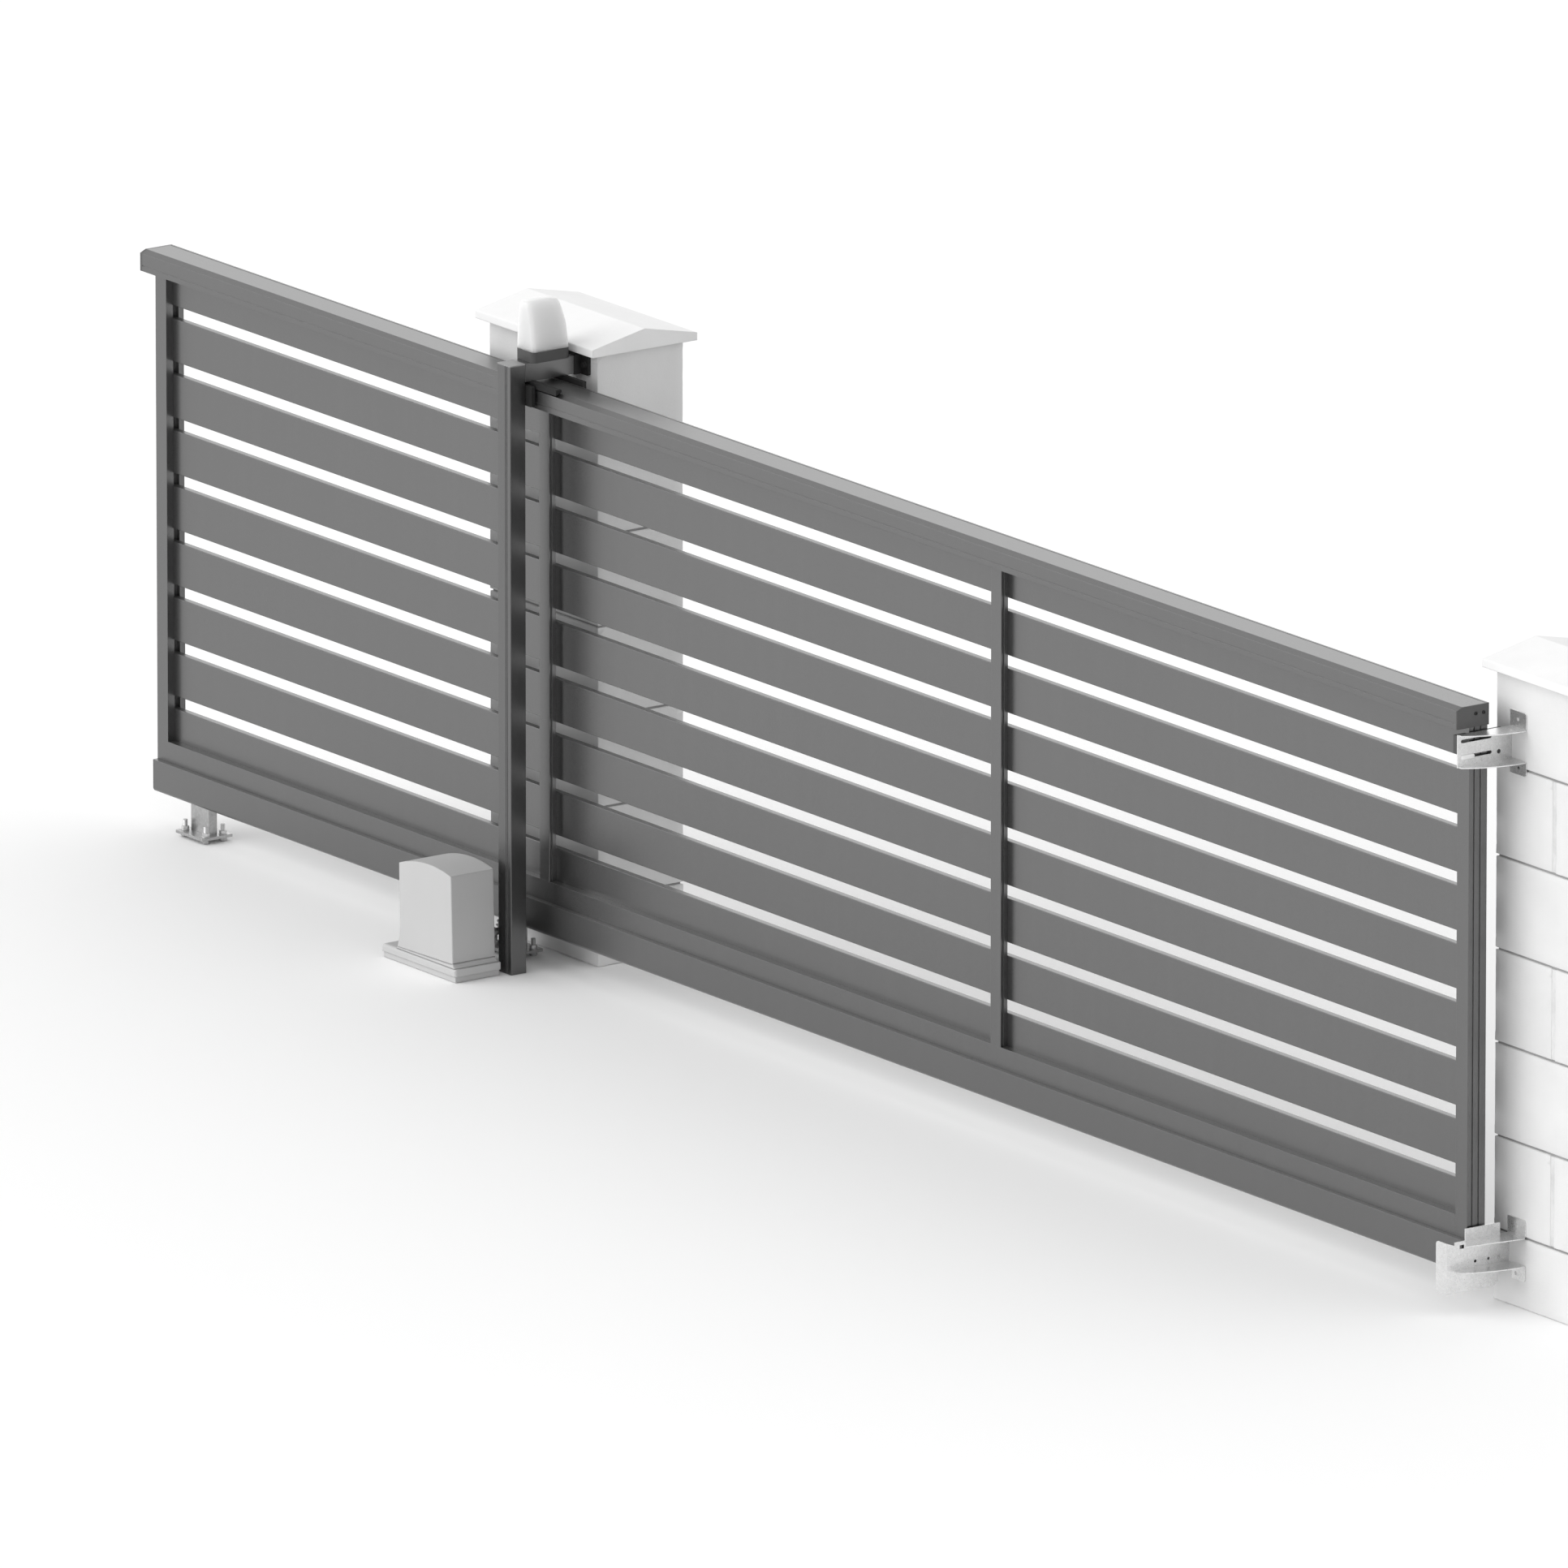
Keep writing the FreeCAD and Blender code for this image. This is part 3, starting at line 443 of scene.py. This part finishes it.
# %% Finish every solid
OWN_FINISH = {
    "guide_post": "post_coat",
    # The carriages' darker zinc is painted shade from the beam above them.
    "rear_carriage_base": "carriage_zinc_painted_shade",
    "rear_carriage_truck": "carriage_zinc_painted_shade",
    "front_carriage_base": "carriage_zinc_painted_shade",
    "front_carriage_truck": "carriage_zinc_painted_shade",
    "upper_guide_block": "grey_nylon",
    "upper_guide_block_rear": "grey_nylon",
}
for subpart in frame["record"]["subparts"]:
    holder = nodes[subpart["node"]]
    chosen = OWN_FINISH.get(subpart["node"], subpart["material_slot"])
    holder.data.materials.clear()
    holder.data.materials.append(finishes[chosen])
print("nodes with a finish:", sum(1 for holder in nodes.values() if holder.data.materials))

# %% [markdown]
# ## Making pieces
# Most small parts of a gate are turned, pressed or moulded: they can be described as a stack of rings. A
# nut, a screw, a threaded stud and the lamp's lens all come from one helper that skins such a stack. A
# second helper turns the mesh into an object, sharpens its real edges, and makes it ride on its body.

# %% Helpers for meshes
def skin(bm, rings, hollow=False, turn=Matrix()):
    """Skin a stack of rings; hollow joins the last ring to the first, otherwise both ends are capped."""
    loops = [[bm.verts.new(turn @ Vector(point)) for point in ring] for ring in rings]
    pairs = list(zip(loops, loops[1:]))
    if hollow:
        pairs.append((loops[-1], loops[0]))
    for lower, upper in pairs:
        for k in range(len(lower)):
            bm.faces.new((lower[k - 1], lower[k], upper[k], upper[k - 1]))
    if not hollow:
        bm.faces.new(reversed(loops[0]))
        bm.faces.new(loops[-1])


def as_piece(bm, name, body, material, sharp=35):
    """Object from a finished mesh: smooth shading with sharp edges, riding on its body."""
    bmesh.ops.recalc_face_normals(bm, faces=bm.faces)
    mesh = bpy.data.meshes.new(name)
    bm.to_mesh(mesh)
    bm.free()
    for face in mesh.polygons:
        face.use_smooth = True
    mesh.set_sharp_from_angle(angle=math.radians(sharp))
    mesh.materials.append(material)
    piece = bpy.data.objects.new(name, mesh)
    bpy.context.scene.collection.objects.link(piece)
    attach(piece, body)
    print(name, "faces:", len(mesh.polygons))
    return piece


# %% [markdown]
# ## Pillars
# Each pillar is laid from concrete blocks half a metre long and a quarter high. Courses of one whole block
# and of two halves take turns, counted from the top, so that the upright joints never meet; the lowest
# course is cut to what is left. A texture could draw the joints, but real gaps catch real shade. So every
# block is a box of its own with worn edges and slightly uneven faces, around a core of mortar. The bed
# joints between courses are thin and raked deep, the upright joints are wide and filled almost flush. All
# wear goes inwards, so the pillar keeps its size.

# %% One block
BED_JOINT = 0.0065
BED_BACK = 0.006
UPRIGHT_JOINT = 0.015
UPRIGHT_BACK = 0.0012
FILL_MARGIN = 0.001
COURSE = 0.25
LEAST_COURSE = 0.01
ROUGH_SCALE = 14
CHIP_SCALE = 45
ON_SIDE = 1e-6


def worn_box(bm, low, high, cuts, bevel, unevenness, edge_wear):
    """Box with bevelled edges whose faces and edges are pressed in a little by noise."""
    made = bmesh.ops.create_cube(bm, size=1.0)["verts"]
    middle = (low + high) / 2
    size = high - low
    for vert in made:
        vert.co = Vector(vert.co[k] * size[k] + middle[k] for k in range(3))
    edges = {edge for vert in made for edge in vert.link_edges}
    split = bmesh.ops.subdivide_edges(bm, edges=list(edges), cuts=cuts, use_grid_fill=True)
    part = set(made) | {item for item in split["geom"] if isinstance(item, bmesh.types.BMVert)}

    def sides(point):
        return sum(1 for k in range(3) if min(abs(point[k] - low[k]), abs(point[k] - high[k])) < ON_SIDE)

    rims = [edge for edge in bm.edges if edge.verts[0] in part
            and sides((edge.verts[0].co + edge.verts[1].co) / 2) == 2]
    bevelled = bmesh.ops.bevel(bm, geom=rims, offset=bevel, segments=2, profile=0.6, affect="EDGES")
    part = {vert for vert in part if vert.is_valid} | set(bevelled["verts"])
    for vert in part:
        rough = 0.5 + 0.5 * noise.noise(vert.co * ROUGH_SCALE)
        chip = max(0.0, noise.noise(vert.co * CHIP_SCALE))
        amount = unevenness * rough + (edge_wear * chip if sides(vert.co) != 1 else 0.0)
        vert.co += (middle - vert.co).normalized() * amount


# %% Courses of a pillar
def lay_pillar(node):
    """Blocks and both kinds of mortar in the place of the plain pillar."""
    low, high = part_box(node)
    half = BED_JOINT / 2
    centre = (low.x + high.x) / 2
    gap = UPRIGHT_JOINT / 2
    stones = bmesh.new()
    core = bmesh.new()
    filling = bmesh.new()
    bed_back = Vector((BED_BACK, BED_BACK, 0.0))
    worn_box(core, low + bed_back, high - bed_back, cuts=12, bevel=0.001, unevenness=0.0005, edge_wear=0.0)
    top = high.z
    whole = True
    while top > low.z + LEAST_COURSE:
        bottom = max(low.z, top - COURSE)
        z0 = bottom + half if bottom > low.z else bottom
        z1 = top - half if top < high.z else top
        spans = [(low.x, high.x)] if whole else [(low.x, centre - gap), (centre + gap, high.x)]
        for x0, x1 in spans:
            near = Vector((x0, low.y, z0))
            far = Vector((x1, high.y, z1))
            worn_box(stones, near, far, cuts=9, bevel=0.002, unevenness=0.0006, edge_wear=0.0012)
        if not whole:
            near = Vector((centre - gap - FILL_MARGIN, low.y + UPRIGHT_BACK, z0 + FILL_MARGIN))
            far = Vector((centre + gap + FILL_MARGIN, high.y - UPRIGHT_BACK, z1 - FILL_MARGIN))
            worn_box(filling, near, far, cuts=8, bevel=0.001, unevenness=0.0006, edge_wear=0.0)
        top = bottom
        whole = not whole
    blocks = as_piece(stones, node + "_blocks", "posts", finishes["block"], 60)
    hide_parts(node)
    # The bed mortar is painted darker: painted shade in the raked bed joints.
    as_piece(core, node + "_bed_mortar", "posts", finishes["bed_mortar"], 60)
    as_piece(filling, node + "_upright_mortar", "posts", finishes["upright_mortar"], 60)


for name in ("inner_pillar", "closing_pillar"):
    lay_pillar(name)

# %% [markdown]
# ## Lamp lens
# The warning lamp's lens is one moulding of milky plastic: a rounded rectangle at the foot that narrows,
# leans a little and rounds over at the top. The solid carries it in a few flat steps. Here the same
# sections are read as points of smooth curves, so the skin runs without a facet.

# %% Lens sections
# Each step: share of the height, half the width, front, back, corner radius
LENS_STEPS = [
    (0.00, 0.0410, 0.0435, 0.1630, 0.011), (0.25, 0.0384, 0.0423, 0.1612, 0.0115),
    (0.50, 0.0350, 0.0410, 0.1585, 0.012), (0.80, 0.0288, 0.0385, 0.1497, 0.0135),
    (0.92, 0.0248, 0.0385, 0.1445, 0.0145), (0.98, 0.0195, 0.0415, 0.1385, 0.014),
    (1.00, 0.0090, 0.0520, 0.1260, 0.008)]


def between(share):
    """Sizes of the lens at a share of its height, from a smooth curve through the steps."""
    for k in range(len(LENS_STEPS) - 1):
        first, second = LENS_STEPS[k], LENS_STEPS[k + 1]
        if share <= second[0]:
            before = LENS_STEPS[max(k - 1, 0)]
            after = LENS_STEPS[min(k + 2, len(LENS_STEPS) - 1)]
            width = second[0] - first[0]
            t = (share - first[0]) / width
            sizes = []
            for i in range(1, 5):
                slope_in = (second[i] - before[i]) / max(second[0] - before[0], 1e-6) * width
                slope_out = (after[i] - first[i]) / max(after[0] - first[0], 1e-6) * width
                sizes.append(
                    (2 * t**3 - 3 * t**2 + 1) * first[i] + (t**3 - 2 * t**2 + t) * slope_in
                    + (3 * t**2 - 2 * t**3) * second[i] + (t**3 - t**2) * slope_out)
            return sizes


def rounded_ring(x0, x1, y0, y1, z, radius, corner=8):
    """Level ring of points round a rectangle with round corners."""
    ring = []
    for cx, cy, start in ((x1, y1, 0), (x0, y1, 90), (x0, y0, 180), (x1, y0, 270)):
        for step in range(corner + 1):
            angle = math.radians(start + 90 * step / corner)
            ring.append((
                cx + math.copysign(radius, x0 + x1 - 2 * cx) + radius * math.cos(angle),
                cy + math.copysign(radius, y0 + y1 - 2 * cy) + radius * math.sin(angle), z))
    return ring


# %% Lens
LOWER_SHARES = [k / 14 * 0.8 for k in range(14)]
UPPER_SHARES = [0.80, 0.85, 0.89, 0.92, 0.945, 0.965, 0.98, 0.99, 1.0]
LEAST_FLAT = 0.0005
lens_low, lens_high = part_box("lamp_dome")
lens_rings = []
for share in LOWER_SHARES + UPPER_SHARES:
    half_x, y0, y1, radius = between(share)
    z = lens_low.z + share * (lens_high.z - lens_low.z)
    lens_rings.append(rounded_ring(-half_x, half_x, y0, y1, z, min(radius, half_x - LEAST_FLAT)))
lens_mesh = bmesh.new()
skin(lens_mesh, lens_rings)
lens = as_piece(lens_mesh, "lamp_lens_moulding", "posts", finishes["lamp_lens"], 60)
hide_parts("lamp_dome")

# %% [markdown]
# ## Motor foot
# Where the motor's cover meets its footing the moulding runs out in a small hollow curve, as moulded parts
# do so that they leave the mould and shed water. A bevel on the solid would round the wrong way, so a strip
# with a hollow section is led round the cover's foot. It is wide on the right and fades out on the left,
# where the cover itself flares.

# %% Cove round the cover
COVE_STEPS = 6
COVE_LEFT = 0.001
COVE_RIGHT = 0.017
COVE_SIDES = 0.0045
COVE_RISE = 0.002
RISE_PER_WIDTH = 0.6
MOTOR_MIDDLE_Y = -0.12
base_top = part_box("motor_base")[1].z
cover_low, cover_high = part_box("motor_cover")
foot = rounded_ring(
    cover_low.x, cover_high.x, cover_low.y, cover_high.y, base_top, radius=0.003, corner=10)
wide = rounded_ring(
    cover_low.x - COVE_LEFT, cover_high.x + COVE_RIGHT, cover_low.y - COVE_SIDES, cover_high.y + COVE_SIDES,
    base_top, radius=0.006, corner=10)
foot_middle = (cover_low.x + cover_high.x) / 2
# A ring just inside the cover closes the strip
inner = [(x * 0.99 + foot_middle * 0.01, y * 0.98 + MOTOR_MIDDLE_Y * 0.02, z) for x, y, z in foot]
cove_rings = []
for step in range(COVE_STEPS + 1):
    turn = math.radians(90 * step / COVE_STEPS)
    reach = 1 - math.sin(turn)
    ring = []
    for near, far in zip(foot, wide):
        out_x = far[0] - near[0]
        out_y = far[1] - near[1]
        rise = (COVE_RISE + RISE_PER_WIDTH * math.hypot(out_x, out_y)) * (1 - math.cos(turn))
        ring.append((near[0] + out_x * reach, near[1] + out_y * reach, near[2] + rise))
    cove_rings.append(ring)
cove_rings.append(inner)
cove_mesh = bmesh.new()
skin(cove_mesh, cove_rings, hollow=True)
as_piece(cove_mesh, "motor_cover_cove", "posts", finishes["motor_plastic"], 50)

# %% [markdown]
# ## Nuts, washers and threads
# A nut is a six-sided bar whose corners are turned off by a cone. In rings, each point of the side keeps the
# hexagon's radius, and its height drops with that radius as the cone does; this gives the curved edges that
# every real nut has. The thread is a stack of rings as well, with a radius that climbs with the angle. A nut
# stops where it is tight, so each one is turned its own way.

# %% Fastener rings
SEGMENTS = 48
ANGLES = [2 * math.pi * k / SEGMENTS for k in range(SEGMENTS)]
RINGS_PER_TURN = 8
RUN_OUT = 0.001


def circle(radius, z):
    return [(radius * math.cos(a), radius * math.sin(a), z) for a in ANGLES]


def hexagon(flat, z, cone=0.0, start=0.0):
    """Six-sided ring; its height changes with the distance beyond the start radius."""
    ring = []
    for a in ANGLES:
        radius = flat / math.cos(a % (math.pi / 3) - math.pi / 6)
        ring.append((radius * math.cos(a), radius * math.sin(a), z + cone * (radius - start)))
    return ring


def nut_rings(flat, hole, z0, z1):
    slope = math.tan(math.radians(30))
    start = flat * 0.96
    return [circle(hole, z0), circle(start, z0), hexagon(flat, z0, slope, start),
            hexagon(flat, z1, -slope, start), circle(start, z1), circle(hole, z1)]


def washer_rings(hole, radius, z0, z1):
    edge = 0.0004
    return [circle(hole, z0), circle(radius - edge, z0), circle(radius, z0 + edge),
            circle(radius, z1 - edge), circle(radius - edge, z1), circle(hole, z1)]


def thread_rings(root, crest, pitch, z0, z1):
    """Rings of a screw thread with a run-out at the top."""
    count = int((z1 - z0) / pitch * RINGS_PER_TURN)
    rings = []
    for k in range(count + 1):
        z = z0 + (z1 - z0) * k / count
        fade = min(1.0, (z1 - z) / RUN_OUT)
        ring = []
        for a in ANGLES:
            phase = (z / pitch - a / (2 * math.pi)) % 1.0
            radius = root + (crest - root) * fade * (1 - abs(2 * phase - 1))
            ring.append((radius * math.cos(a), radius * math.sin(a), z))
        rings.append(ring)
    return rings


# %% Nuts on the carriages
PLATE_TOP = 0.018
STUD_X = 0.049
STUD_Y = 0.028
STUD_HOLE = 0.0061
STUD_CHAMFER = 0.0006
WASHER_TOP = PLATE_TOP + 0.0022
NUT_TOP = PLATE_TOP + 0.0115
for side in ("rear", "front"):
    low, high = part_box(side + "_carriage_base")
    middle = (low + high) / 2
    hardware = bmesh.new()
    for dx in (-STUD_X, STUD_X):
        for dy in (-STUD_Y, STUD_Y):
            stud = Matrix.Translation((middle.x + dx, middle.y + dy, 0.0))
            twist = stud @ Matrix.Rotation(dx * 9 + dy * 23, 4, "Z")
            washer = washer_rings(STUD_HOLE, radius=0.0115, z0=PLATE_TOP, z1=WASHER_TOP)
            nut = nut_rings(flat=0.0092, hole=STUD_HOLE, z0=WASHER_TOP, z1=NUT_TOP)
            threads = thread_rings(
                root=0.00605, crest=0.0066, pitch=0.00175, z0=NUT_TOP, z1=high.z - STUD_CHAMFER)
            skin(hardware, washer, True, stud)
            skin(hardware, nut, True, twist)
            skin(hardware, threads, False, stud)
    as_piece(hardware, side + "_carriage_nuts", "posts", finishes["zinc_plate"])

# %% [markdown]
# ## Bolts and screws
# The arm's wall plate is held by two hexagon bolts with washers, the cap rail's end plates by screws with a
# domed head and a six-sided socket. In the upper catch's long hole sits an oblong washer that can be shifted
# along it when the gate is set. Heads are skinned from rings as the nuts are, then turned to face the way
# they are driven.

# %% Bolt and screw heads
def facing(position, direction):
    """Placement whose Z axis points in the given direction."""
    return Matrix.Translation(position) @ Vector(direction).to_track_quat("Z", "Y").to_matrix().to_4x4()


def bolt_head_rings(flat, height):
    slope = math.tan(math.radians(30))
    start = flat * 0.95
    return [circle(flat * 0.6, -0.001), circle(flat * 0.6, 0.0), hexagon(flat, 0.0),
            hexagon(flat, height, -slope, start), circle(start, height), circle(start * 0.8, height - 0.0003)]


def socket_screw_rings(radius, height):
    socket = radius * 0.42
    return [circle(radius * 0.5, -0.004), circle(radius * 0.5, 0.0), circle(radius, 0.0),
            circle(radius, height * 0.25), circle(radius * 0.93, height * 0.6),
            circle(radius * 0.78, height * 0.88), circle(radius * 0.6, height),
            hexagon(socket, height), hexagon(socket, height * 0.25)]


# %% Place the bolts and screws
BOLT_X = 0.048
BOLT_Z = 1.655
WALL_PLATE_THICK = 0.008
wall_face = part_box("arm_wall_plate")[1].y - WALL_PLATE_THICK
wall_bolts = bmesh.new()
for x in (-BOLT_X, BOLT_X):
    spot = facing((x, wall_face, BOLT_Z), (0, -1, 0))
    twist = spot @ Matrix.Rotation(x * 7, 4, "Z")
    skin(wall_bolts, washer_rings(hole=0.0052, radius=0.0105, z0=0.0, z1=0.002), True, spot)
    skin(wall_bolts, bolt_head_rings(flat=0.0075, height=0.0085), False, twist)
as_piece(wall_bolts, "wall_plate_bolts", "posts", finishes["black_steel"])

SCREW_Y = (0.103, 0.128)
SCREW_Z = 1.595
for node, direction in (("cap_rear_plate", -1), ("cap_front_plate", 1)):
    low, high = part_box(node)
    face_x = high.x if direction > 0 else low.x
    screws = bmesh.new()
    for y in SCREW_Y:
        spot = facing((face_x, y, SCREW_Z), (direction, 0, 0))
        skin(screws, socket_screw_rings(radius=0.0052, height=0.0026), False, spot)
    as_piece(screws, node + "_screws", "leaf", finishes["black_steel"])

# %% Oblong washer in the long hole
# Half length and half width, then the height of each ring
WASHER = (0.022, 0.0070)
HOLE_FIT = (0.018, 0.0040)
WASHER_PLACE = (4.170, 0.0725, 1.4855)
END_FLAT = 0.0001
washer_steps = [(HOLE_FIT, -0.0030), (HOLE_FIT, 0.0), (WASHER, 0.0), (WASHER, 0.0012),
                ((0.0213, 0.0064), 0.0022), ((0.0196, 0.0050), 0.0030), ((0.0165, 0.0025), 0.0034)]
washer_shape = [
    rounded_ring(-length, length, -width, width, z, width - END_FLAT) for (length, width), z in washer_steps]
oblong = bmesh.new()
skin(oblong, washer_shape, False, facing(WASHER_PLACE, (1, 0, 0)))
as_piece(oblong, "upper_catch_washer", "posts", finishes["bright_zinc"])
